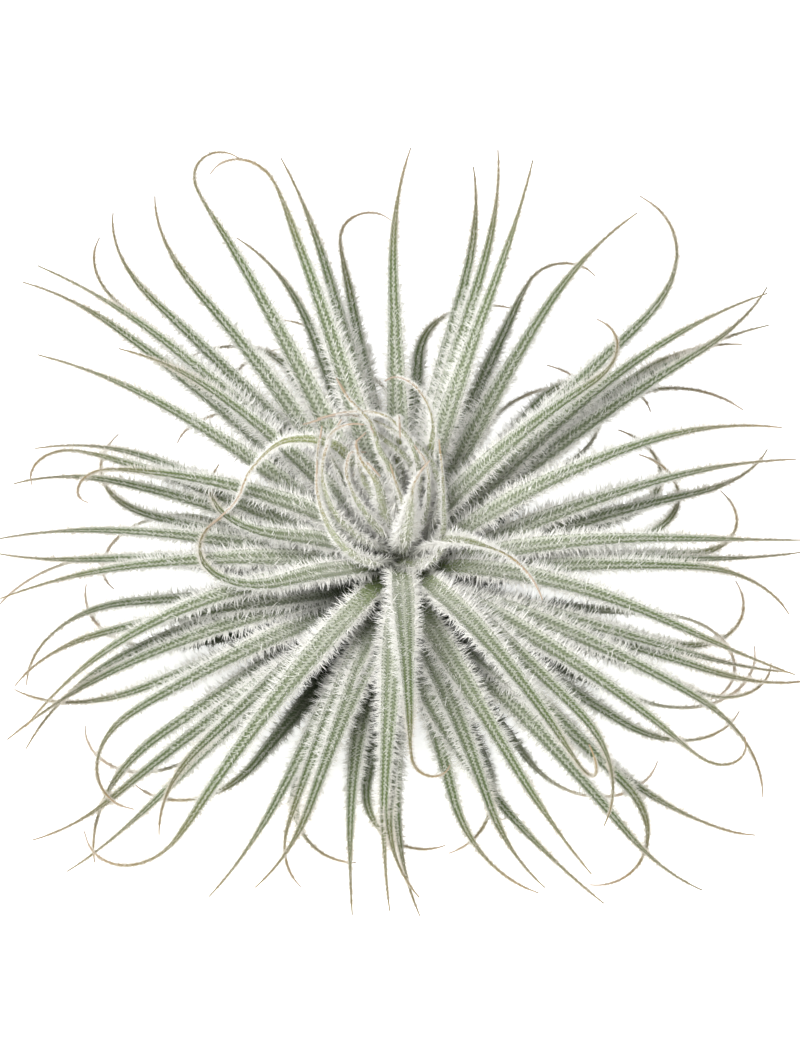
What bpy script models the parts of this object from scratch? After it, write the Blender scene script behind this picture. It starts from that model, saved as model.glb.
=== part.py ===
"""Air plant: a rosette of narrow channelled leaves around a short woody stem.

The plant rests on the trimmed underside of its stem, at z = 0, and its lowest leaves end just over
the same surface. Metres, +Z up, origin at the centre of the trimmed underside.
"""

import math

import bmesh
import bpy
import numpy as np

# ---- driving dimensions ------------------------------------------------------------------------
STEM_HEIGHT = 0.027
STEM_CROWN = 0.0004  # the growing tip's rise over the stem's shoulder
STEM_PROFILE = (  # height and radius, from the trimmed underside to the growing tip
    (0.0, 0.0052),
    (0.003, 0.0064),
    (0.016, 0.0064),
    (0.022, 0.0050),
    (STEM_HEIGHT, 0.0034),
)
STEM_SEGMENTS = 32
STEM_MERGE = 0.00001  # corners closer than this at the turning axis are one

LEAF_WIDTH = 0.0054  # between the margins, at the widest
LEAF_THICKNESS = 0.0012  # from the channel floor to the keel, at the widest
NECK_RATIO = 0.74  # the root's width to the widest, where the leaves crowd round the stem
NECK_END = 0.25  # where the blade reaches its full width, along the leaf
CHANNEL_RATIO = 0.34  # how far the margins stand over the channel floor, to half the width
SHOULDER_SPAN = 0.62  # how far out the underside's shoulders lie, to half the width
SHOULDER_DEPTH = 0.8  # how far down they lie, to the keel's depth
THREAD_RADIUS = 0.00032  # the dry thread that a leaf ends in
THREAD_THINNING = 0.4  # how much of its radius the thread loses over the leaf's length
THREAD_TURNS = (0, 90, 180, 225, 270, 315)  # the thread's corners, in degrees round it
THREAD_START = 0.95  # where the blade has narrowed to its thread, along the leaf
TAPER_GAIN = 1.25  # keeps the blade's full width past its neck
TAPER_POWER = 0.60
BLADE_RINGS = 7
CURL_RINGS = 9
CURL_EASE = 1.3  # over 1, a curl tightens towards the end
LINE_STEPS = 240

SEAT_GAP = 0.0003  # between a leaf's root and the stem
LIE_HEIGHT = 0.0011  # a leaf's middle line over the surface where it lies on it
LIE_SOFTNESS = 0.0010  # how gently a leaf comes to lie on it
MILLIMETRE = 0.001
ROOT_STEPS = (-0.2, 1.8, -0.6, 1.4, -1.8)  # root heights about their tier's, in millimetres

BARK_COLOUR, BARK_ROUGHNESS = (0.20, 0.13, 0.08), 0.9
LEAF_ROUGHNESS = 0.75
LEAF_COLOURS = {  # paler and yellower towards the heart
    "lower": (0.36, 0.44, 0.34),
    "outer": (0.40, 0.49, 0.37),
    "middle": (0.45, 0.54, 0.40),
    "upper": (0.50, 0.59, 0.40),
    "heart": (0.56, 0.64, 0.38),
}

# ---- the leaves ----------------------------------------------------------------------------------
# Angles in degrees, lengths in millimetres. A tier is a turn of leaves of about one age:
#   name, root height on the stem, share of ROOT_STEPS, width to LEAF_WIDTH, and its leaves.
# A leaf is: turn about the stem, rise over the horizontal at its root, droop to its end,
#   sway to the left, length, where its end begins to curl along it, the curl,
#   and the curl's side (0 up, 90 left, -90 right, 180 down).
TIERS = (
    ("lower", 8.0, 1.0, 1.0, (
        (45, 19, 32, 0, 92, 0.62, 90, -90),
        (-26, 14, 30, 0, 84, 0.70, 110, 90),
        (-53, 12, 34, 22, 91, 0.62, 30, 90),
        (-80, 13, 36, 4, 78, 0.62, 60, 90),
        (-92, 13, 32, 4, 74, 0.62, 20, 90),
        (-106, 14, 32, 20, 76, 0.62, 0, 90),
        (-114, 13, 34, 0, 80, 0.62, 20, -90),
        (-134, 13, 34, 4, 91, 0.62, 20, -90),
        (-168, 13, 32, 22, 84, 0.62, 30, 90),
        (146, 17, 32, 4, 86, 0.62, 30, 90),
        (98, 15, 30, 4, 82, 0.62, 60, 90),
    )),
    ("outer", 13.0, 1.0, 1.0, (
        (68, 27, 30, 0, 90, 0.78, 130, -90),
        (42, 34, 30, 0, 108, 0.62, 100, 90),
        (36, 31, 30, 0, 93, 0.62, 20, -90),
        (14, 26, 28, 0, 82, 0.62, 10, -90),
        (2, 18, 28, -4, 80, 0.62, 20, 90),
        (-23, 14, 32, 10, 80, 0.62, 20, 90),
        (-28, 14, 34, -4, 91, 0.70, 60, -90),
        (-86, 10, 30, 52, 86, 0.62, 0, 90),
        (-111, 11, 30, 4, 76, 0.80, 60, 90),
        (-146, 15, 32, 0, 90, 0.66, 130, 90),
        (-158, 13, 32, 4, 85, 0.62, 10, 90),
        (177, 22, 30, 0, 80, 0.62, 10, 90),
        (138, 34, 30, 2, 100, 0.78, 70, -90),
        (110, 31, 30, 0, 84, 0.62, 30, 90),
        (100, 34, 30, 0, 92, 0.80, 150, -90),
    )),
    ("middle", 18.0, 1.0, 1.05, (
        (91, 44, 28, 2, 88, 0.62, 20, -90),
        (72, 42, 30, 0, 90, 0.62, 20, 90),
        (56, 42, 30, 0, 88, 0.62, 20, -90),
        (14, 41, 44, 0, 82, 0.62, 20, -90),
        (36, 39, 36, -4, 94, 0.62, 10, -90),
        (-2, 24, 34, 0, 80, 0.62, 10, 90),
        (-20, 24, 48, -8, 84, 0.62, 20, 90),
        (-41, 18, 36, 0, 90, 0.82, 150, 90),
        (-54, 24, 34, 0, 86, 0.66, 60, -90),
        (-70, 15, 36, 12, 80, 0.62, 10, 90),
        (-93, 18, 46, 0, 80, 0.62, 10, 90),
        (-122, 13, 36, 0, 104, 0.74, 140, -90),
        (-164, 22, 50, 20, 84, 0.62, 10, 90),
        (-171, 20, 30, 0, 80, 0.62, 10, 90),
        (168, 32, 30, 0, 83, 0.78, 120, 90),
        (156, 40, 34, 0, 84, 0.62, 10, 90),
        (146, 42, 34, 0, 95, 0.62, 10, 90),
        (122, 42, 30, 0, 105, 0.82, 160, -90),
        (106, 42, 30, 0, 89, 0.62, 10, 90),
    )),
    ("upper", 22.5, 1.0, 1.05, (
        (63, 56, 26, 0, 84, 0.62, 10, 90),
        (30, 48, 46, 0, 70, 0.70, 120, 90),
        (-61, 28, 44, 0, 86, 0.80, 170, 0),
        (-88, 32, 46, 0, 74, 0.84, 160, 90),
        (-150, 30, 40, 0, 58, 0.40, 190, -90),
        (-172, 36, 46, 0, 50, 0.40, 130, -90),
        (170, 33, 46, 4, 74, 0.80, 160, 90),
        (150, 46, 36, 0, 70, 0.62, 20, 90),
        (115, 54, 28, 0, 95, 0.80, 130, 90),
    )),
    ("heart", 26.0, 0.4, 0.72, (
        (-45, 62, 60, 0, 48, 0.70, 90, 180),
        (-80, 68, -12, 0, 46, 0.70, 30, 90),
        (46, 80, 10, 0, 47, 0.50, 150, 90),
        (170, 60, -20, 0, 42, 0.62, 110, 0),
        (92, 82, 0, 0, 42, 0.62, 120, 0),
    )),
)


def unit(vectors):
    """Each vector over its own length."""
    return vectors / np.linalg.norm(vectors, axis=-1, keepdims=True)


def stem_radius(height):
    """The stem's radius at a height: widest at its belly, narrowing to the growing tip."""
    return float(np.interp(height, *zip(*STEM_PROFILE)))


def leaf_line(turn, rise, droop, sway, length, curl_start, curl, side):
    """Points along a leaf from (0, 0, 0), and its direction at each, in LINE_STEPS even steps.

    The rise falls evenly by the droop and the turn grows by the sway. Past curl_start the direction
    also swings towards the curl's side, ever faster.
    """
    along = np.linspace(0.0, 1.0, LINE_STEPS)
    rises = np.radians(rise - droop * along)
    turns = np.radians(turn + sway * along)
    flat = np.cos(rises)
    ways = np.stack([flat * np.cos(turns), flat * np.sin(turns), np.sin(rises)], axis=1)
    ahead = ways[int(curl_start * LINE_STEPS)]
    left = unit(np.cross((0.0, 0.0, 1.0), ahead))
    up = np.cross(ahead, left)
    towards = math.cos(math.radians(side)) * up + math.sin(math.radians(side)) * left
    share = np.clip((along - curl_start) / (1.0 - curl_start), 0.0, 1.0) ** CURL_EASE
    bend = np.radians(curl) * share[:, None]
    ways = unit(np.cos(bend) * ways + np.sin(bend) * towards)
    points = np.cumsum(ways, axis=0) * (length / LINE_STEPS)
    return points - points[0], ways


def laid_on_surface(points):
    """The points with their heights eased up to LIE_HEIGHT, where the leaf lies on the surface."""
    over = points[:, 2] - LIE_HEIGHT
    eased = points.copy()
    eased[:, 2] = LIE_HEIGHT + 0.5 * (over + np.sqrt(over**2 + LIE_SOFTNESS**2))
    return eased


def ring_places(curl_start):
    """Where the rings lie along a leaf: evenly on the blade, closer together in the curl."""
    blade = np.linspace(0.0, curl_start, BLADE_RINGS, endpoint=False)
    return np.concatenate([blade, np.linspace(curl_start, 1.0, CURL_RINGS)])


def section(place, width):
    """The six corners across a leaf, as (sideways, upwards) from the channel floor, anticlockwise.

    The blade is a channel with raised margins over a keel. It widens from its neck at the root, then
    narrows along the leaf and closes into a round thread.
    """
    neck = NECK_RATIO + (1.0 - NECK_RATIO) * min(1.0, place / NECK_END)
    taper = TAPER_GAIN * max(0.0, 1.0 - place / THREAD_START) ** TAPER_POWER
    half = 0.5 * width * min(neck, taper)
    deep = LEAF_THICKNESS * min(neck, taper)
    rim = CHANNEL_RATIO * half
    shoulder = SHOULDER_SPAN * rim - SHOULDER_DEPTH * deep
    blade = np.array([
        (half, rim),
        (0.0, 0.0),
        (-half, rim),
        (-SHOULDER_SPAN * half, shoulder),
        (0.0, -deep),
        (SHOULDER_SPAN * half, shoulder),
    ])
    turns = np.radians(THREAD_TURNS)
    thin = THREAD_RADIUS * (1.0 - THREAD_THINNING * place)
    thread = thin * np.stack([np.cos(turns), np.sin(turns)], axis=1)
    closing = 1.0 if half <= THREAD_RADIUS else THREAD_RADIUS / half
    return (1.0 - closing) * blade + closing * thread


def leaf_mesh(name, root_height, width, shape):
    """A leaf lofted from its root to the end of its thread.

    It is seated where both its root's middle, leaning in with the rise, and its root's corners clear
    the stem by SEAT_GAP.
    """
    turn, rise, droop, sway, length, curl_start, curl, side = shape
    points, ways = leaf_line(turn, rise, droop, sway, length * MILLIMETRE, curl_start, curl, side)
    outwards = np.array((math.cos(math.radians(turn)), math.sin(math.radians(turn)), 0.0))
    half, reach = 0.5 * width * NECK_RATIO, stem_radius(root_height) + SEAT_GAP
    lean_in = math.sin(math.radians(rise)) * CHANNEL_RATIO * half
    seat = max(reach, lean_in + math.sqrt(reach**2 - half**2))
    points = laid_on_surface(points + seat * outwards + (0.0, 0.0, root_height))

    places = ring_places(curl_start)
    chosen = np.round(places * (LINE_STEPS - 1)).astype(int)
    sideways = np.array((-outwards[1], outwards[0], 0.0))
    mesh = bmesh.new()
    rings = []
    for place, centre, way in zip(places[:-1], points[chosen], ways[chosen]):
        sideways = unit(sideways - np.dot(sideways, way) * way)
        upwards = np.cross(way, sideways)
        corners = section(place, width)
        ring = centre + corners[:, :1] * sideways + corners[:, 1:] * upwards
        rings.append([mesh.verts.new(corner) for corner in ring])
    for near, far in zip(rings, rings[1:]):
        for i in range(len(near)):
            j = (i + 1) % len(near)
            mesh.faces.new((near[i], near[j], far[j], far[i]))
    end = mesh.verts.new(points[-1])
    last = rings[-1]
    for i in range(len(last)):
        mesh.faces.new((last[i], last[(i + 1) % len(last)], end))
    mesh.faces.new(reversed(rings[0]))
    bmesh.ops.triangulate(mesh, faces=mesh.faces[:])
    bmesh.ops.recalc_face_normals(mesh, faces=mesh.faces[:])
    data = bpy.data.meshes.new(name)
    mesh.to_mesh(data)
    mesh.free()
    data.shade_smooth()
    return data


def material(name, colour, roughness):
    """A dull plant surface of one colour."""
    made = bpy.data.materials.new(name)
    made.use_nodes = True
    shader = made.node_tree.nodes["Principled BSDF"]
    shader.inputs["Base Color"].default_value = (*colour, 1.0)
    shader.inputs["Roughness"].default_value = roughness
    shader.inputs["Metallic"].default_value = 0.0
    return made


def add_stem(collection, bark):
    """The short woody stem: a profile turned about Z, flat where it was trimmed."""
    data = bpy.data.meshes.new("stem")
    outline = [(0.0, STEM_HEIGHT + STEM_CROWN)]
    outline += [(radius, height) for height, radius in reversed(STEM_PROFILE)]
    outline += [(0.0, 0.0)]
    corners = [(radius, 0.0, height) for radius, height in outline]
    data.from_pydata(corners, [(i, i + 1) for i in range(len(corners) - 1)], [])
    stem = bpy.data.objects.new("stem", data)
    turned = stem.modifiers.new("turned", "SCREW")
    turned.axis = "Z"
    turned.steps = turned.render_steps = STEM_SEGMENTS
    turned.use_merge_vertices = True
    turned.merge_threshold = STEM_MERGE
    turned.use_smooth_shade = True
    data.materials.append(bark)
    collection.objects.link(stem)


def add_leaves(collection, skins):
    """Every leaf of every tier, the roots stepped up and down by ROOT_STEPS so that they clear."""
    for tier, root_height, spread, width, shapes in TIERS:
        for i, shape in enumerate(shapes):
            name = f"{tier}_leaf_{i + 1:02d}"
            height = root_height + spread * ROOT_STEPS[i % len(ROOT_STEPS)]
            mesh = leaf_mesh(name, height * MILLIMETRE, width * LEAF_WIDTH, shape)
            mesh.materials.append(skins[tier])
            leaf = bpy.data.objects.new(name, mesh)
            collection.objects.link(leaf)


for old in list(bpy.data.objects):
    bpy.data.objects.remove(old)

plant = bpy.data.collections.new("air_plant")
bpy.context.scene.collection.children.link(plant)
add_stem(plant, material("bark", BARK_COLOUR, BARK_ROUGHNESS))
add_leaves(plant, {
    tier: material(f"{tier}_leaf_skin", colour, LEAF_ROUGHNESS) for tier, colour in LEAF_COLOURS.items()
})
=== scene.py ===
import math

import bpy
import numpy as np
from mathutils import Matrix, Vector


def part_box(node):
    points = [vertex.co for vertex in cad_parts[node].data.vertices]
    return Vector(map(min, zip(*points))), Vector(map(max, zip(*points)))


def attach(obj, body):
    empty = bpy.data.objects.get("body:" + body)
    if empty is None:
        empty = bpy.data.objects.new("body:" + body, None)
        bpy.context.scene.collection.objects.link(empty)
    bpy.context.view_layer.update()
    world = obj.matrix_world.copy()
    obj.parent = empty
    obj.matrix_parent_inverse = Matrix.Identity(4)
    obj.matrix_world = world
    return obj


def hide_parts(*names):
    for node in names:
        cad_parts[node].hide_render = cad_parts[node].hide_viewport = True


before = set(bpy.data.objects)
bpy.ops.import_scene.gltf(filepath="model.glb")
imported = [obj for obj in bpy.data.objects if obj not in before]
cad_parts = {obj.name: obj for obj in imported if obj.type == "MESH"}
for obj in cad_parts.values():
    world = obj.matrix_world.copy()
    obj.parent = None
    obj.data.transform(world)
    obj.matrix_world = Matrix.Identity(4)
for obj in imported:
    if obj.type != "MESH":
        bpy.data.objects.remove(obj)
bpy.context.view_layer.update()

# ==== The stem ====================================================================================
# A short woody stem, hidden among the leaves. It is dry brown wood, ringed by the torn bases of
# leaves that have died, and it was trimmed flat underneath, where the plant rests.


def piece_from_faces(name, corners, faces, uv, smooth):
    """A mesh object from corner positions (n, 3), faces of one size (m, 3 or 4) and their uv (m, k, 2)."""
    mesh = bpy.data.meshes.new(name)
    mesh.vertices.add(len(corners))
    mesh.vertices.foreach_set("co", np.ascontiguousarray(corners, dtype=np.float32).ravel())
    mesh.loops.add(faces.size)
    mesh.loops.foreach_set("vertex_index", faces.astype(np.int32).ravel())
    mesh.polygons.add(len(faces))
    mesh.polygons.foreach_set("loop_start", np.arange(len(faces), dtype=np.int32) * faces.shape[1])
    mesh.update(calc_edges=True)
    mesh.polygons.foreach_set("use_smooth", np.full(len(faces), smooth))
    layer = mesh.uv_layers.new(name="OFBake")
    layer.data.foreach_set("uv", np.ascontiguousarray(uv, dtype=np.float32).ravel())
    piece = bpy.data.objects.new(name, mesh)
    bpy.context.scene.collection.objects.link(piece)
    return piece


def closed_sleeve(rings):
    """A closed skin over rings (n, m, 3), each ring and the row of rings given anticlockwise outwards.

    Every ring joins the next, the last point of a ring joins its first, and each end is drawn to the
    ring's middle. The uv is (around, along), with a seam at the ring's first point.
    """
    count, around = rings.shape[:2]
    ends = rings[[0, -1]].mean(axis=1, keepdims=True).repeat(around, axis=1)
    rows = np.concatenate([ends[:1], rings, ends[1:]])
    row, column = np.meshgrid(np.arange(count + 1), np.arange(around), indexing="ij")
    following = (column + 1) % around
    faces = np.stack([
        row * around + column, row * around + following,
        (row + 1) * around + following, (row + 1) * around + column,
    ], axis=-1).reshape(-1, 4)
    u = np.stack([column, column + 1, column + 1, column], axis=-1) / around
    v = np.stack([row, row, row + 1, row + 1], axis=-1) / (count + 1)
    return rows.reshape(-1, 3), faces, np.stack([u, v], axis=-1).reshape(-1, 4, 2)


class Wire:
    """A shader socket that adds, multiplies and so on as a number does, by adding Math nodes."""

    def __init__(self, tree, socket):
        self.tree, self.socket = tree, socket

    def math(self, operation, *values):
        return node(self.tree, "ShaderNodeMath", {"operation": operation}, values)

    def __add__(self, other):
        return self.math("ADD", self, other)

    def __sub__(self, other):
        return self.math("SUBTRACT", self, other)

    def __rsub__(self, other):
        return self.math("SUBTRACT", other, self)

    def __mul__(self, other):
        return self.math("MULTIPLY", self, other)

    def __truediv__(self, other):
        return self.math("DIVIDE", self, other)

    def __pow__(self, other):
        return self.math("POWER", self, other)

    __radd__, __rmul__ = __add__, __mul__

    def clipped(self):
        return self.math("MINIMUM", self.math("MAXIMUM", self, 0.0), 1.0)

    def sine(self):
        return self.math("SINE", self)

    def cosine(self):
        return self.math("COSINE", self)

    def size(self):
        return self.math("ABSOLUTE", self)


def node(tree, kind, settings, inputs, output=0):
    """A node of a kind, with its settings made first and then its inputs, by place or by name.

    A setting called stops is a colour ramp's (place, colour) list. Returns one output as a Wire.
    """
    made = tree.nodes.new(kind)
    for name, value in settings.items():
        if name == "stops":
            ramp = made.color_ramp
            while len(ramp.elements) < len(value):
                ramp.elements.new(1.0)
            for element, (place, colour) in zip(ramp.elements, value):
                element.position, element.color = place, (*colour, 1.0)
        else:
            setattr(made, name, value)
    pairs = inputs.items() if isinstance(inputs, dict) else enumerate(inputs)
    for place, value in pairs:
        if isinstance(value, Wire):
            tree.links.new(value.socket, made.inputs[place])
        else:
            made.inputs[place].default_value = value
    return Wire(tree, made.outputs[output])


def blended(tree, share, first, second):
    """The first colour where share is 0 and the second where it is 1."""
    colours = [(*c, 1.0) if isinstance(c, tuple) else c for c in (first, second)]
    return node(tree, "ShaderNodeMix", {"data_type": "RGBA"}, {0: share, 6: colours[0], 7: colours[1]}, 2)


def new_skin(name, **constants):
    """A material with one Principled shader, whose unlinked sockets take the constants."""
    skin = bpy.data.materials.new(name)
    skin.use_nodes = True
    tree = skin.node_tree
    shader = tree.nodes["Principled BSDF"]
    for socket, value in constants.items():
        shader.inputs[socket.replace("_", " ")].default_value = value
    return skin, tree, shader


def fed(tree, shader, **wires):
    """Links wires to the shader's sockets by name."""
    for socket, wire in wires.items():
        tree.links.new(wire.socket, shader.inputs[socket.replace("_", " ")])


STEM_ROWS, STEM_AROUND = 90, 120
LEAF_SCARS = 9  # rings of torn leaf bases up the stem
SCAR_DEPTH = 0.00035
SCAR_FADE = 0.001  # the rings run out this near the stem's ends
SAME_LEVEL = 1e-5  # corners of the CAD stem this near in height are one ring
FIBRE_SCALE = (1800.0, 1800.0, 260.0)  # the bark's fibres run up the stem


def stem_skin():
    """The stem's rings: the CAD stem's own outline, with a shallow saw-tooth ring at each leaf scar.

    Radius = outline radius - depth x saw(height x scars + a wave around), so each scar's upper lip
    stands out and the wood under it falls back.
    """
    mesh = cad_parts["stem"].data
    corners = np.empty((len(mesh.vertices), 3))
    mesh.vertices.foreach_get("co", corners.ravel())
    radii, heights = np.hypot(corners[:, 0], corners[:, 1]), corners[:, 2]
    levels = np.unique(np.round(heights, 5))
    outline = np.array([radii[np.abs(heights - level) < SAME_LEVEL].max() for level in levels])
    height = np.linspace(levels[0], levels[-1], STEM_ROWS)
    angle = np.linspace(0.0, 2.0 * np.pi, STEM_AROUND, endpoint=False)
    rise, turn = np.meshgrid(height, angle, indexing="ij")
    torn = rise / levels[-1] * LEAF_SCARS + 0.35 * np.sin(3 * turn) + 0.15 * np.sin(11 * turn + 2.0)
    edge = np.clip(np.minimum(rise, levels[-1] - rise) / SCAR_FADE, 0.0, 1.0)
    radius = np.interp(rise, levels, outline) - SCAR_DEPTH * edge * (torn % 1.0)
    return np.stack([radius * np.cos(turn), radius * np.sin(turn), rise], axis=-1)


bark, tree, shader = new_skin("dry_bark", Roughness=0.9)
place = node(tree, "ShaderNodeTexCoord", {}, (), 3)
fibres = node(tree, "ShaderNodeTexNoise", {}, {0: node(
    tree, "ShaderNodeMapping", {}, {0: place, 3: FIBRE_SCALE}), "Detail": 4.0}, 0)
bark_colour = node(tree, "ShaderNodeValToRGB", {"stops": [
    (0.25, (0.008, 0.006, 0.004)), (0.55, (0.026, 0.019, 0.011)),
    (0.80, (0.075, 0.052, 0.032))]}, (fibres,))
bark_relief = node(tree, "ShaderNodeBump", {}, {"Strength": 0.8, "Distance": 0.0003, "Height": fibres})
fed(tree, shader, Base_Color=bark_colour, Normal=bark_relief)

stem = piece_from_faces("woody_stem", *closed_sleeve(stem_skin()), True)
stem.data.materials.append(bark)
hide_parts("stem")
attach(stem, "root")

# ==== The leaf blades =============================================================================
# Each leaf is a long blade folded into a shallow channel, grey-green and a little fleshy. It grows
# from the stem, narrows evenly, and ends in a dry tan thread that curls in the air.

CAD_RINGS = 15  # rings of corners along a CAD leaf, before its tip
STEM_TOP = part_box("stem")[1][2]
BLADE_ROWS, BLADE_AROUND = 96, 18
CHANNEL_RATIO = 0.34  # how far the margins stand over the channel floor, to half the width
KEEL_RATIO = 0.42  # how far the keel hangs under it, to half the width
RIB_HEIGHT = 0.00016  # the mid rib along the channel floor
RIB_SPREAD = 0.25  # how far it reaches to each side, to half the blade's width
RIB_FULL = 0.002  # the half width of blade from which it has its full height
THREAD_RADIUS = 0.00033
THREAD_THINNING = 0.6  # how much of its radius the thread loses towards its end
CLOSING_FROM = 2.2  # the half width, to the thread's radius, from which a blade closes to a circle
NARROWING = (0.60, 0.92)  # from where to where a blade that ends in a curl draws in to its thread
EARLY_NARROWING = (0.38, 0.80)  # the same on young leaves and dry ones
CURL_THINNING = 0.8  # how much of its width it draws in by, if its end turns right round
SCALES_SHARE = 0.26  # how much of the outer half's width is the scales beside the bare blade
SCALES_FROM, SCALES_OVER = 0.15, 0.45  # where along it that begins, and over how much it grows
TABLE_GAP = 0.0001  # the least that anything lies over the table


def unit(vectors):
    """Each vector over its own length."""
    return vectors / np.linalg.norm(vectors, axis=-1, keepdims=True)


def welded(name):
    """A CAD node's corners, once each, and a table of which are joined by an edge."""
    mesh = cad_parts[name].data
    corners = np.empty((len(mesh.vertices), 3))
    mesh.vertices.foreach_get("co", corners.ravel())
    edges = np.empty((len(mesh.edges), 2), dtype=int)
    mesh.edges.foreach_get("vertices", edges.ravel())
    keys, first, where = np.unique(np.round(corners, 7), axis=0, return_index=True, return_inverse=True)
    edges = where.ravel()[edges]
    joined = np.zeros((len(keys), len(keys)), dtype=bool)
    joined[edges[:, 0], edges[:, 1]] = joined[edges[:, 1], edges[:, 0]] = True
    np.fill_diagonal(joined, False)
    return corners[first], joined


def reach_from(start, corners, joined):
    """Each corner's distance from the start along the edges: the least over its neighbours of their
    distance plus the edge between them, until nothing changes."""
    apart = np.linalg.norm(corners[:, None] - corners[None], axis=-1)
    edges = np.where(joined, apart, np.inf)
    reach = np.where(np.arange(len(corners)) == start, 0.0, np.inf)
    while True:
        shorter = np.minimum(reach, (reach[:, None] + edges).min(axis=0))
        if np.array_equal(shorter, reach):
            return reach
        reach = shorter


def smooth_line(points, count):
    """count rows at even lengths on a curve through the points, whose first three values are a place:
    cubic Hermite pieces, with central differences over length as their slopes."""
    lengths = np.concatenate([[0.0], np.cumsum(np.linalg.norm(np.diff(points[:, :3], axis=0), axis=1))])
    slopes = np.gradient(points, lengths, axis=0)
    wanted = np.linspace(0.0, lengths[-1], count)
    piece = np.clip(np.searchsorted(lengths, wanted, "right") - 1, 0, len(points) - 2)
    span = (lengths[piece + 1] - lengths[piece])[:, None]
    x = (wanted[:, None] - lengths[piece][:, None]) / span
    return (
        (2 * x**3 - 3 * x**2 + 1) * points[piece] + (x**3 - 2 * x**2 + x) * span * slopes[piece]
        + (3 * x**2 - 2 * x**3) * points[piece + 1] + (x**3 - x**2) * span * slopes[piece + 1]
    )


def leaf_from_cad(name):
    """(rows of place and half width, up at the root) of a CAD leaf.

    Its root is beside the stem and its tip is the corner farthest from that. Sorted by distance from
    the root less distance from the tip, the corners fall into rings parted by the widest steps. A
    ring's two farthest corners are its margins, and up points from its middle to theirs.
    """
    corners, joined = welded(name)
    over_stem = corners - np.array([[0.0, 0.0, 1.0]]) * np.clip(corners[:, 2:], 0.0, STEM_TOP)
    from_root = reach_from(np.linalg.norm(over_stem, axis=-1).argmin(), corners, joined)
    from_tip = reach_from(from_root.argmax(), corners, joined)
    order = (from_root - from_tip).argsort()
    steps = np.diff((from_root - from_tip)[order])
    rings = np.split(corners[order], np.sort(np.argsort(steps)[-CAD_RINGS:]) + 1)
    apart = [np.linalg.norm(ring[:, None] - ring[None], axis=-1) for ring in rings]
    rows = np.array([(*ring.mean(axis=0), 0.5 * gaps.max()) for ring, gaps in zip(rings, apart)])
    margins = rings[0][list(np.unravel_index(apart[0].argmax(), apart[0].shape))]
    return rows, margins.mean(axis=0) - rings[0].mean(axis=0)


class Blade:
    """A leaf's blade: its middle line, and its half width, along, sideways and up directions there."""

    def __init__(self, name, kind, rows, up, node_name=None):
        self.name, self.kind, self.node_name = name, kind, node_name
        rows = smooth_line(rows, BLADE_ROWS)
        self.length = np.linalg.norm(np.diff(rows[:, :3], axis=0), axis=1).sum()
        ways = unit(np.gradient(rows[:, :3], axis=0))
        along = np.linspace(0.0, 1.0, BLADE_ROWS)
        start, end = EARLY_NARROWING if kind in ("young", "dry") else NARROWING
        past = np.clip((along - start) / (end - start), 0.0, 1.0)
        self.curled = np.clip(1.0 - np.dot(ways[int(start * BLADE_ROWS)], ways[-1]), 0.0, 1.0)
        bare = 1.0 - SCALES_SHARE * np.clip((along - SCALES_FROM) / SCALES_OVER, 0.0, 1.0)
        drawn_in = 1.0 - CURL_THINNING * self.curled * past**2
        rows[:, 3] = np.maximum(rows[:, 3] * bare * drawn_in, THREAD_RADIUS)
        ups = np.empty_like(ways)
        for i, way in enumerate(ways):
            up = up - np.dot(up, way) * way
            up = ups[i] = up / np.linalg.norm(up)
        self.table = np.hstack([rows, ways, np.cross(ups, ways), ups])

    def at(self, along):
        """(place, half width, along, sideways, up) at shares of the length, between the table's rows."""
        place = np.clip(along, 0.0, 1.0) * (BLADE_ROWS - 1)
        low = np.minimum(place.astype(int), BLADE_ROWS - 2)
        mix = (place - low)[..., None]
        row = (1.0 - mix) * self.table[low] + mix * self.table[low + 1]
        return row[..., 0:3], row[..., 3], row[..., 4:7], row[..., 7:10], row[..., 10:13]

    def skin(self, along, turn):
        """The skin's points by share of the length and turn about the middle line.

        Sideways = half width x cos(turn). The upper skin is the channel, margin height x (cos turn)^2,
        with a low mid rib, and the keel hangs under it by depth x |sin turn|. Where the half width has
        fallen to the thread's radius both have closed on a circle.
        """
        place, half, _, side, up = self.at(along)
        share, under = np.cos(turn), np.clip(-np.sin(turn), 0.0, 1.0)
        rib = RIB_HEIGHT * np.exp(-((share / RIB_SPREAD) ** 2)) * np.minimum(1.0, half / RIB_FULL)
        lift = CHANNEL_RATIO * half * share**2 - KEEL_RATIO * half * under + rib * (np.sin(turn) > 0)
        thin = THREAD_RADIUS * (1.0 - THREAD_THINNING * along**8)
        closing = np.clip((CLOSING_FROM - half / THREAD_RADIUS) / (CLOSING_FROM - 1.0), 0.0, 1.0)
        sideways = (1.0 - closing) * half * share + closing * thin * share
        upward = (1.0 - closing) * lift + closing * thin * np.sin(turn)
        points = place + sideways[..., None] * side + upward[..., None] * up
        points[..., 2] = np.maximum(points[..., 2], TABLE_GAP)
        return points


MILLIMETRE = 0.001
CURL_EASE = 1.3  # over 1, a curl tightens towards the end
NECK_RATIO, NECK_END = 0.74, 0.25  # the root's width to the full width, and where that is reached
TAPER_GAIN, TAPER_END, TAPER_POWER = 1.25, 0.95, 0.6  # the taper to the thread


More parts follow.
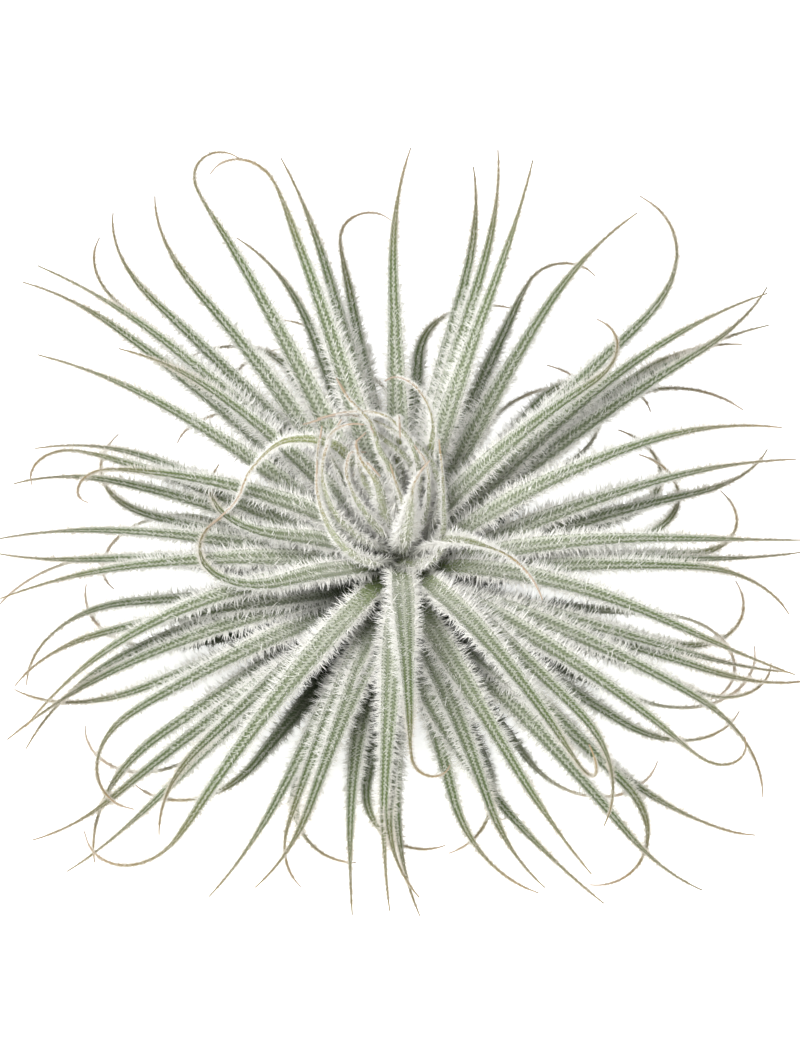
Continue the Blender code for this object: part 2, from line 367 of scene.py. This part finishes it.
def leaf_line(turn, rise, droop, sway, length, curl_start, curl, side):
    """Points along a leaf from (0, 0, 0). The rise falls evenly by the droop and the turn grows by the
    sway. Past curl_start the direction also swings towards the curl's side, ever faster."""
    along = np.linspace(0.0, 1.0, BLADE_ROWS)
    rises, turns = np.radians(rise - droop * along), np.radians(turn + sway * along)
    ways = np.stack([np.cos(rises) * np.cos(turns), np.cos(rises) * np.sin(turns), np.sin(rises)], axis=1)
    ahead = ways[int(curl_start * BLADE_ROWS)]
    left = unit(np.cross((0.0, 0.0, 1.0), ahead))
    towards = math.cos(math.radians(side)) * np.cross(ahead, left) + math.sin(math.radians(side)) * left
    past = np.clip((along - curl_start) / (1.0 - curl_start), 0.0, 1.0)[:, None]
    bend = np.radians(curl) * past**CURL_EASE
    ways = unit(np.cos(bend) * ways + np.sin(bend) * towards)
    return np.cumsum(ways, axis=0) * (length / BLADE_ROWS)


def tapered(points, width):
    """Points with a half width added: a neck at the root, the full width, then an even taper."""
    along = np.linspace(0.0, 1.0, len(points))
    neck = NECK_RATIO + (1.0 - NECK_RATIO) * np.minimum(1.0, along / NECK_END)
    taper = TAPER_GAIN * np.clip(1.0 - along / TAPER_END, 0.0, 1.0) ** TAPER_POWER
    return np.column_stack([points, np.maximum(0.5 * width * np.minimum(neck, taper), THREAD_RADIUS)])


blades = []
for name in sorted(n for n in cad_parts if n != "stem"):
    kind = {"heart": "young", "middle": "grown", "upper": "grown"}.get(name.split("_")[0], "old")
    blades.append(Blade(name.replace("leaf", "blade"), kind, *leaf_from_cad(name), name))

# More leaves grow between those: (width, height on the stem, then what leaf_line takes), in
# millimetres and degrees. The narrow ones are the oldest, nearly dry, and lie under the rest.
MORE_LEAVES = (
    (5.0, 20, 76, 36, 30, 0, 88, 0.62, 20, 90),
    (5.0, 17, 129, 38, 30, 4, 95, 0.70, 40, -90),
    (5.0, 10, 6, 14, 30, 0, 82, 0.66, 130, 90),
    (5.0, 9, -49, 12, 28, 0, 96, 0.66, 130, -90),
    (5.0, 7, -113, 12, 30, 0, 74, 0.60, 110, 90),
    (5.0, 8, -142, 10, 26, 0, 90, 0.62, 60, 90),
    (5.0, 12, 113, 14, 28, 0, 85, 0.62, 120, 90),
    (5.0, 12, 86, 16, 28, 0, 85, 0.62, 110, -90),
    (4.4, 6, 24, 10, 24, 0, 80, 0.55, 140, 90),
    (4.4, 6, -12, 8, 24, 0, 82, 0.60, 130, 90),
    (4.4, 6, -36, 8, 20, 0, 80, 0.62, 100, 90),
    (4.4, 5, -68, 8, 20, 0, 66, 0.60, 90, -90),
    (4.4, 5, -98, 8, 18, 0, 70, 0.60, 120, 90),
    (4.4, 6, -124, 8, 20, 0, 76, 0.60, 100, -90),
    (4.4, 6, -155, 8, 18, 0, 82, 0.62, 60, -90),
    (4.4, 6, -178, 9, 22, 0, 84, 0.60, 90, 90),
    (4.4, 7, 160, 12, 24, 0, 82, 0.60, 110, -90),
    (4.4, 8, 128, 14, 26, 0, 80, 0.60, 120, -90),
    (4.4, 8, 58, 16, 26, 0, 84, 0.60, 140, -90),
    (4.4, 7, 12, 14, 24, 4, 78, 0.55, 150, 90),
    (5.0, 16, 168, 24, 26, 0, 79, 0.70, 30, 90),
    (5.0, 14, -176, 20, 24, 0, 80, 0.72, 20, -90),
    (5.0, 12, -162, 16, 22, 0, 82, 0.72, 40, 90),
    (5.0, 14, -6, 20, 24, 0, 81, 0.70, 60, -90),
    (5.0, 12, 16, 16, 22, 0, 82, 0.72, 50, 90),
    (5.0, 9, -22, 13, 20, 0, 86, 0.72, 40, 90),
    (5.0, 12, -128, 20, 26, 0, 84, 0.72, 40, 90),
    (5.0, 16, 38, 26, 26, 0, 86, 0.70, 40, -90),
    (5.0, 20, 144, 27, 20, 0, 96, 0.75, 20, 90),
    (5.0, 20, 136, 30, 20, 3, 96, 0.72, 50, -90),
    (5.0, 19, 33, 23, 18, 0, 96, 0.75, 30, 90),
    (5.0, 9, -55, 10, 18, 0, 94, 0.78, 30, 90),
    (5.0, 8, -137, 10, 18, 2, 94, 0.78, 30, -90),
    (5.0, 12, -92, 16, 26, 0, 80, 0.72, 40, 90),
    (5.0, 12, -106, 16, 26, 0, 82, 0.72, 30, -90),
    (5.0, 12, -74, 16, 26, 0, 82, 0.72, 30, 90),
    (3.0, 3, -166, 8, 20, 0, 74, 0.50, 110, -90),
    (3.0, 4, 172, 14, 26, -6, 86, 0.55, 70, 90),
    (3.0, 5, 152, 12, 24, 10, 78, 0.50, 150, 90),
    (3.0, 6, 119, 12, 24, 0, 76, 0.55, 140, 90),
    (3.0, 6, 93, 12, 24, -8, 74, 0.55, 120, 90),
    (3.0, 5, 66, 12, 22, 8, 78, 0.50, 100, -90),
    (3.0, 5, 45, 10, 22, 0, 84, 0.55, 120, 90),
    (3.0, 4, -5, 10, 20, 0, 84, 0.60, 150, -90),
    (3.0, 4, -30, 8, 18, 6, 86, 0.55, 120, 90),
    (3.0, 4, -58, 8, 18, 0, 78, 0.55, 130, 90),
    (3.0, 4, -134, 8, 18, -6, 84, 0.60, 130, -90),
)
DRY_WIDTH = 4.2  # in millimetres: leaves under this are nearly dry
SEAT_RADIUS = 0.006  # how far from the stem's axis their roots are
LIE_HEIGHT, LIE_SOFTNESS = 0.0013, 0.001  # where a leaf lies on the table, and how gently it gets there
for i, (width, height, turn, rise, droop, sway, length, *end) in enumerate(MORE_LEAVES):
    line = leaf_line(turn, rise, droop, sway, length * MILLIMETRE, *end)
    out = np.array((math.cos(math.radians(turn)), math.sin(math.radians(turn)), 0.0))
    line = line + SEAT_RADIUS * out + (0.0, 0.0, height * MILLIMETRE)
    over = line[:, 2] - LIE_HEIGHT
    line[:, 2] = LIE_HEIGHT + 0.5 * (over + np.hypot(over, LIE_SOFTNESS))
    up = np.cross(line[1] - line[0], (-out[1], out[0], 0.0))
    kind = "dry" if width < DRY_WIDTH else "old"
    blades.append(Blade(f"further_blade_{i + 1:02d}", kind, tapered(line, width * MILLIMETRE), up))

# The youngest leaves stand in the heart and lean to the left, their threads arching over it. Each is
# (width, then points along it), in millimetres.
YOUNG_LEAVES = (
    (3.8, (4, 0, 26), (8, 2, 38), (6, 5, 47), (-2, 8, 53), (-11, 9, 56), (-20, 9, 53)),
    (3.4, (2, 1, 26), (3, 1, 35), (2, 5, 46), (-5, 7, 53), (-9, 9, 58), (-13, 12, 64)),
    (3.8, (-2, -3, 26), (-9, -5, 34), (-14, -4, 41), (-16, -1, 48), (-15, 2, 54), (-12, 6, 58)),
    (3.4, (-3, -1, 26), (-11, -1, 33), (-16, 1, 40), (-17, 3, 48), (-16, 6, 56)),
    (3.2, (-3, 2, 26), (-7, 3, 40), (-14, 6, 50), (-24, 6, 51), (-31, 3, 45), (-34, 1, 38), (-40, -2, 33)),
    (2.8, (-3, 0, 26), (-9, 1, 35), (-10, 2, 43), (-7, 2, 49), (-4, 0, 47)),
    (3.0, (-1, 0, 26), (-4, 1, 36), (-8, 2, 46), (-9, 3, 55)),
    (3.0, (1, -1, 26), (0, 1, 37), (-3, 3, 48), (-6, 5, 57)),
    (3.8, (-1, -4, 25), (4, -8, 28), (8, -8, 32), (9, -6, 37), (9, -2, 43), (8, 4, 54)),
    (3.2, (-1, -1, 25), (-6, -2, 35), (-10, -1, 44), (-11, 1, 48), (-10, 3, 51), (-7, 4, 50)),
    (3.4, (0, -1, 26), (-3, -1, 37), (-5, 0, 46), (-8, 2, 50), (-9, 4, 53), (-7, 5, 55)),
    (3.4, (1, 0, 26), (0, 0, 38), (-1, 1, 46), (-4, 3, 52), (-6, 6, 57), (-11, 9, 62), (-13, 11, 65)),
    (3.6, (2, 0, 26), (3, 0, 36), (4, 1, 46), (2, 3, 55), (-3, 6, 59), (-10, 8, 58), (-17, 8, 56)),
    (3.2, (3, -1, 26), (5, -2, 36), (6, -1, 44), (5, 1, 51), (2, 3, 55)),
    (3.0, (1, -2, 26), (2, -4, 35), (1, -4, 42), (-1, -2, 48), (-2, 0, 51)),
    (3.8, (-2, -4, 25), (-6, -8, 29), (-11, -9, 34), (-15, -7, 40), (-17, -3, 46), (-17, 1, 51)),
)
HEART_MIDDLE = np.array((-0.006, 0.002, 0.042))  # the young leaves' upper faces look this way
for i, (width, *points) in enumerate(YOUNG_LEAVES):
    points = smooth_line(np.array(points) * MILLIMETRE, BLADE_ROWS)
    up = HEART_MIDDLE - points[0]
    blades.append(Blade(f"young_blade_{i + 1:02d}", "young", tapered(points, width * MILLIMETRE), up))


CONE_HEIGHT, CONE_SLOPE = 0.0175, 0.33  # a cone round the stem; the leaves under it get painted shade
CONE_EDGE = 0.008  # over what height the painted shade gives way


def out_of_painted_shade(tree):
    """0 under the cone, deep among the leaf bases, where the colour gets painted shade, and 1 in the open.

    It is (height + slope x distance from the axis - the cone's height) / edge, clipped.
    """
    place = node(tree, "ShaderNodeTexCoord", {}, (), 3)
    height = node(tree, "ShaderNodeSeparateXYZ", {}, (place,), 2)
    flat = node(tree, "ShaderNodeVectorMath", {"operation": "MULTIPLY"}, (place, (1.0, 1.0, 0.0)))
    reach = node(tree, "ShaderNodeVectorMath", {"operation": "LENGTH"}, (flat,), 1)
    return ((height + reach * CONE_SLOPE - CONE_HEIGHT) / CONE_EDGE).clipped()


FROST = (0.665, 0.675, 0.590)
# The root colour here is near black: painted shade where the leaves crowd the stem.
ROOT_PAINTED_SHADE, THREAD_TAN = (0.012, 0.014, 0.006), (0.500, 0.390, 0.290)
# The last green here is painted shade under the cone round the stem.
DASH_GREEN, PAINTED_SHADE_GREEN = (0.016, 0.034, 0.004), (0.018, 0.036, 0.005)
STRIPE_PLACE, STRIPE_SHARPNESS = 0.42, 5.2  # the green stripes' distance from the mid rib, to half the width
ROWS_BEAT = 15.7  # radians from the mid rib to a margin, for three rows of dashes
DASHES_BEAT = 620.0  # radians from root to tip, for about a hundred dashes
DASHES_LEAN, DASHES_LEAN_BEAT, DASHES_DRIFT = 2.6, 6.5, 7.0  # how far they are out of step, in radians
PATCH_SCALE = (16.0, 110.0, 1.0)  # patches of thicker and thinner frost, long across the blade


def blade_skin(name, base, middle, end, thread_from, frosting=1.0):
    """A blade's material, by its uv (around, along).

    The colour runs from a near-black root, painted shade where the leaves crowd the stem, through base,
    middle and end to the tan thread. Frost lies over it, thinner towards the end and missing at the
    root, and leaves out two green stripes beside the mid rib. Rows of dark dashes cross it, three on
    each side of the mid rib: a cosine across the blade, times a sine along it that leans and drifts
    with the patches. The frost and the dashes also make the relief. Under the cone round the stem all
    of it turns deep green, painted shade among the leaf bases.
    """
    skin, tree, shader = new_skin(name, Roughness=0.62, Sheen_Weight=0.2, Sheen_Roughness=0.4)
    where = node(tree, "ShaderNodeUVMap", {"uv_map": "OFBake"}, ())
    around = node(tree, "ShaderNodeSeparateXYZ", {}, (where,), 0)
    along = node(tree, "ShaderNodeSeparateXYZ", {}, (where,), 1)
    between = tuple(0.5 * (m + e) for m, e in zip(middle, end))
    colour = node(tree, "ShaderNodeValToRGB", {"stops": [
        (0.00, ROOT_PAINTED_SHADE), (0.07, base), (0.20, middle), (0.80 * thread_from, middle),
        (thread_from, between), (thread_from + 0.10, end), (thread_from + 0.18, THREAD_TAN)]},
        (along,))
    turn = around * (2.0 * math.pi)
    share = turn.cosine()
    upper = (turn.sine() * 6.0 + 0.5).clipped()
    stripe = (1.25 - ((share.size() - STRIPE_PLACE) * STRIPE_SHARPNESS) ** 2.0).clipped() * upper
    patches = node(tree, "ShaderNodeTexNoise", {}, {0: node(
        tree, "ShaderNodeMapping", {}, {0: where, 3: PATCH_SCALE}), "Detail": 3.0})
    thinning = (1.0 - (along - 0.08) * 1.1).clipped()
    bloom = (1.0 - ((along - thread_from + 0.12) * 4.0).clipped()) * ((along - 0.03) * 9.0).clipped()
    bare = stripe * (1.0 - thinning * 0.78) * 1.4
    frost = (1.00 - bare + (patches - 0.5) * 0.9).clipped() * bloom
    ground = blended(tree, frost * ((0.30 + thinning * 0.56) * frosting), colour, FROST)
    rows = 0.5 - 0.5 * (share * ROWS_BEAT).cosine()
    lean = (share * DASHES_LEAN_BEAT).sine() * DASHES_LEAN
    beat = along * DASHES_BEAT + lean + patches * DASHES_DRIFT
    kept = ((patches - 0.34) * 6.0).clipped()
    dashes = ((beat.sine() + 0.25) * (rows - 0.15) * 3.4).clipped() * kept
    drying = ((along - thread_from) * 9.0).clipped()
    showing = (1.40 - thinning * 0.72).clipped() * (1.0 - drying)
    dashed = blended(tree, dashes * showing, ground, blended(tree, 0.60, colour, DASH_GREEN))
    relief = node(tree, "ShaderNodeBump", {}, {
        "Strength": 0.6, "Distance": 0.0001, "Height": frost + patches * 0.3 - dashes})
    # Under the cone round the stem the blade turns deep green: painted shade among the leaf bases.
    fed(tree, shader, Base_Color=blended(tree, out_of_painted_shade(tree), PAINTED_SHADE_GREEN, dashed), Normal=relief)
    return skin


leaf_skins = {  # each with its base, middle and end colours, and where its thread begins
    "dry": blade_skin(
        "dry_leaf_skin", (0.130, 0.160, 0.050), (0.190, 0.205, 0.110), (0.430, 0.350, 0.250), 0.66),
    "old": blade_skin(
        "old_leaf_skin", (0.108, 0.166, 0.018), (0.095, 0.139, 0.036), (0.300, 0.210, 0.090), 0.78),
    "grown": blade_skin(
        "grown_leaf_skin", (0.145, 0.211, 0.028), (0.110, 0.158, 0.040), (0.320, 0.230, 0.100), 0.78),
    "young": blade_skin(
        "young_leaf_skin", (0.140, 0.180, 0.030), (0.240, 0.275, 0.075), (0.360, 0.260, 0.120), 0.66,
        frosting=0.80),
}
DRYNESS = (0.84, 0.92)  # how far through its colours a straight leaf gets
CURL_DRYNESS = 0.08  # how much farther one that curls right round gets
draw = np.random.default_rng(7)
for blade in blades:
    along, turn = np.meshgrid(
        np.linspace(0.0, 1.0, BLADE_ROWS),
        np.linspace(0.0, 2.0 * np.pi, BLADE_AROUND, endpoint=False), indexing="ij")
    corners, faces, uv = closed_sleeve(blade.skin(along, turn))
    uv[..., 1] *= draw.uniform(*DRYNESS) + CURL_DRYNESS * blade.curled
    piece = piece_from_faces(blade.name, corners, faces, uv, True)
    piece.data.materials.append(leaf_skins[blade.kind])
    if blade.node_name:
        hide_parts(blade.node_name)
    "young_leaf" if blade.kind == "young" else "leaf"
    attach(piece, "root")

# ==== The scales ==================================================================================
# Fine white pointed scales cover every blade and drink the mist. They grow from its skin, longest at
# the margins near the root, and lean towards the leaf's end. They weather to grey, then tan. At the
# root they are near black, painted shade where the leaves crowd the stem.

SCALES_PER_METRE = {"young": 62000, "grown": 40500, "old": 40500, "dry": 24000}  # along a blade
SCALE_LENGTH = 0.0027
SCALE_WIDTH = 0.00021  # from a scale's middle to a corner of its foot
SCALE_FLATNESS = 0.6  # its thickness to its width
MARGIN_SHARE, MARGIN_SPREAD = 0.36, 0.25  # the scales about the margins, and their spread in radians
BARE_PLACE, BARE_REACH = 0.40, 0.20  # the band of the green stripe, to half the width
FACE_LENGTH = 0.62  # the length of scales on the blade's faces, to those at the margins
FULL_HALF = 0.0028  # what half width of blade adds half a length to its scales
FADE_PLACES = (0.0, 0.04, 0.30, 0.60, 0.85, 1.0)  # along the scales' part of a leaf
FADE_LENGTHS = (0.75, 1.0, 0.95, 0.80, 0.68, 0.35)  # and how long they are there
YOUNG_WEATHERING = 0.45


def scales_on(blade, draw):
    """(feet, directions, lengths, weathering) of one blade's scales.

    The places along are drawn evenly. About a third of the scales stand at the margins, others
    underneath, and the rest on the upper face, where many leave the green stripes for the margins as
    the leaf goes on. A scale points away from the mid line, out from the skin and towards the leaf's
    end, with a random spread. Its length is the fade along the leaf times the blade's width there.
    The fourth value, wear and painted root shade, is the place along the leaf, and less on a young one.
    """
    count = int(SCALES_PER_METRE[blade.kind] * blade.length)
    young = blade.kind == "young"
    end, under_share, spread = (0.92, 0.32, 0.45) if young else (0.97, 0.18, 0.32)
    along = end * draw.random(count)
    lot = draw.random(count)
    margin, under = lot < MARGIN_SHARE, lot > 1.0 - under_share
    about_margin, on_face = draw.normal(0.05, MARGIN_SPREAD, count), 0.5 * np.pi * draw.random(count)
    turn = np.where(margin, about_margin, on_face)
    turn = np.where(under, -turn, turn)
    in_stripe = (np.abs(np.cos(turn) - BARE_PLACE) < BARE_REACH) & ~margin & ~under
    turn = np.where(in_stripe & (draw.random(count) < 1.6 * along), 0.42 * turn, turn)
    sideways = np.where(margin, np.cos(turn), 0.45 + 0.55 * np.cos(turn))
    upward = np.where(margin, np.sin(turn) + 0.20, np.where(under, -0.8, 0.55))
    lean = np.where(margin, 0.36, 0.80)
    mirrored = draw.random(count) < 0.5
    turn, sideways = np.where(mirrored, np.pi - turn, turn), np.where(mirrored, -sideways, sideways)
    _, half, way, side, up = blade.at(along)
    to = sideways[:, None] * side + upward[:, None] * up + lean[:, None] * way
    to = unit(unit(to) + spread * draw.normal(size=(count, 3)))
    fade = np.interp(along / end, FADE_PLACES, FADE_LENGTHS)
    reach = np.where(margin, 1.0, FACE_LENGTH) * np.minimum(1.0, 0.50 + half / FULL_HALF)
    length = SCALE_LENGTH * fade * reach * draw.uniform(0.5, 1.15, count)
    return blade.skin(along, turn), to, length, along * (YOUNG_WEATHERING if young else 1.0)


def scale_mesh(name, foot, to, length, wear_and_root_shade):
    """Every scale of a leaf as one piece: each a closed three-sided spike, wider than it is thick.

    The foot's corners lie at SCALE_WIDTH from its middle, at thirds of a turn about the spike, and a
    short scale is narrower. The uv is (wear and painted root shade, place along the scale).
    """
    count = len(foot)
    across = unit(np.cross(to, (0.31, 0.52, 0.80)))
    other = np.cross(to, across)
    thirds = np.radians((0.0, 120.0, 240.0))
    wide, thick = np.cos(thirds)[:, None], SCALE_FLATNESS * np.sin(thirds)[:, None]
    ring = wide * across[:, None] + thick * other[:, None]
    breadth = SCALE_WIDTH * np.clip(length / SCALE_LENGTH, 0.35, 1.0)
    tip = foot + to * length[:, None]
    corners = np.concatenate([foot[:, None] + breadth[:, None, None] * ring, tip[:, None]], axis=1)
    corners[..., 2] = np.maximum(corners[..., 2], TABLE_GAP)
    one = np.array([[0, 1, 3], [1, 2, 3], [2, 0, 3], [2, 1, 0]])
    faces = (4 * np.arange(count)[:, None, None] + one).reshape(-1, 3)
    height = np.array([0.05, 0.05, 0.05, 0.95])[one]
    uv = np.stack([np.broadcast_to(wear_and_root_shade[:, None, None], (count, 4, 3)),
                   np.broadcast_to(height, (count, 4, 3))], axis=-1)
    return piece_from_faces(name, corners.reshape(-1, 3), faces, uv.reshape(-1, 3, 2), False)


white, tree, shader = new_skin("white_scale_skin", Roughness=0.55, Sheen_Weight=0.3, Sheen_Roughness=0.4)
where = node(tree, "ShaderNodeUVMap", {"uv_map": "OFBake"}, ())
wear_and_root_shade = node(tree, "ShaderNodeSeparateXYZ", {}, (where,), 0)
to_point = node(tree, "ShaderNodeSeparateXYZ", {}, (where,), 1)
# The scales' colour by place along the leaf: near black at the root, painted shade where the leaves crowd
# the stem, then white, wearing to grey and tan. The brightening towards a scale's tip is held off at the
# root too.
body = node(tree, "ShaderNodeValToRGB", {"stops": [
    (0.00, (0.09, 0.10, 0.05)), (0.09, (0.86, 0.85, 0.80)), (0.30, (0.83, 0.82, 0.77)),
    (0.60, (0.70, 0.70, 0.65)), (0.85, (0.62, 0.57, 0.48))]}, (wear_and_root_shade,))
fresh_and_out_of_root_shade = ((wear_and_root_shade - 0.01) * 9.0).clipped() * (1.40 - wear_and_root_shade * 1.3).clipped()
bright = blended(tree, to_point * fresh_and_out_of_root_shade, body, (0.95, 0.94, 0.92))
# Under the cone round the stem the scales turn dark green: painted shade among the leaf bases.
fed(tree, shader, Base_Color=blended(tree, out_of_painted_shade(tree), (0.044, 0.062, 0.020), bright))

for blade in blades:
    scales = scale_mesh(blade.name.replace("blade", "scales"), *scales_on(blade, draw))
    scales.data.materials.append(white)
    "young_leaf" if blade.kind == "young" else "leaf"
    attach(scales, "root")

# ==== The table, the light and the camera =========================================================
# A plain white table, lit softly from all round, seen from in front and above.

FLOOR_SIZE, FLOOR_DROP = 6.0, 0.0002
floor_white, tree, shader = new_skin("table_white", Roughness=0.9, Emission_Strength=0.68)
shader.inputs["Base Color"].default_value = (0.92, 0.92, 0.92, 1.0)
shader.inputs["Emission Color"].default_value = (1.0, 1.0, 1.0, 1.0)
bpy.ops.mesh.primitive_plane_add(size=FLOOR_SIZE, location=(0.0, 0.0, -FLOOR_DROP))
table = bpy.context.object
table.name = "table"
table.data.materials.append(floor_white)

world = bpy.data.worlds.new("soft_room")
world.use_nodes = True
world.node_tree.nodes["Background"].inputs["Color"].default_value = (1.0, 1.0, 1.0, 1.0)
world.node_tree.nodes["Background"].inputs["Strength"].default_value = 0.25
bpy.context.scene.world = world
bpy.context.scene.view_settings.view_transform = "Standard"


def soft_lamp(name, place, size, power):
    """A square lamp at a place, facing the plant's middle."""
    light = bpy.data.lights.new(name, "AREA")
    light.shape, light.size, light.energy = "SQUARE", size, power
    lamp = bpy.data.objects.new(name, light)
    lamp.location = place
    lamp.rotation_euler = (Vector((0.0, 0.0, 0.02)) - lamp.location).to_track_quat("-Z", "Y").to_euler()
    bpy.context.scene.collection.objects.link(lamp)


soft_lamp("key", (-0.35, -0.45, 0.90), 0.5, 11.0)
soft_lamp("fill", (0.8, -0.3, 0.7), 0.7, 3.0)
soft_lamp("front", (0.1, -1.0, 0.45), 0.6, 3.0)

CAMERA_RISE = math.radians(50.0)
CAMERA_DISTANCE = 0.90
FRAME_HEIGHT = 0.2198  # what the picture's height spans at the plant
AIM_HEIGHT = 0.020
AIM_LIFT = 0.0080  # the aim over the plant's middle, up the picture
lens = bpy.data.cameras.new("camera")
lens.sensor_width = 36.0  # along the picture's longer side, its height
lens.lens = lens.sensor_width * CAMERA_DISTANCE / FRAME_HEIGHT
camera = bpy.data.objects.new("camera", lens)
back = Vector((0.0, -math.cos(CAMERA_RISE), math.sin(CAMERA_RISE)))
picture_up = Vector((0.0, math.sin(CAMERA_RISE), math.cos(CAMERA_RISE)))
aim = Vector((0.0, 0.0, AIM_HEIGHT)) + AIM_LIFT * picture_up
camera.location = aim + CAMERA_DISTANCE * back
camera.rotation_euler = (-back).to_track_quat("-Z", "Y").to_euler()
bpy.context.scene.collection.objects.link(camera)
bpy.context.scene.camera = camera
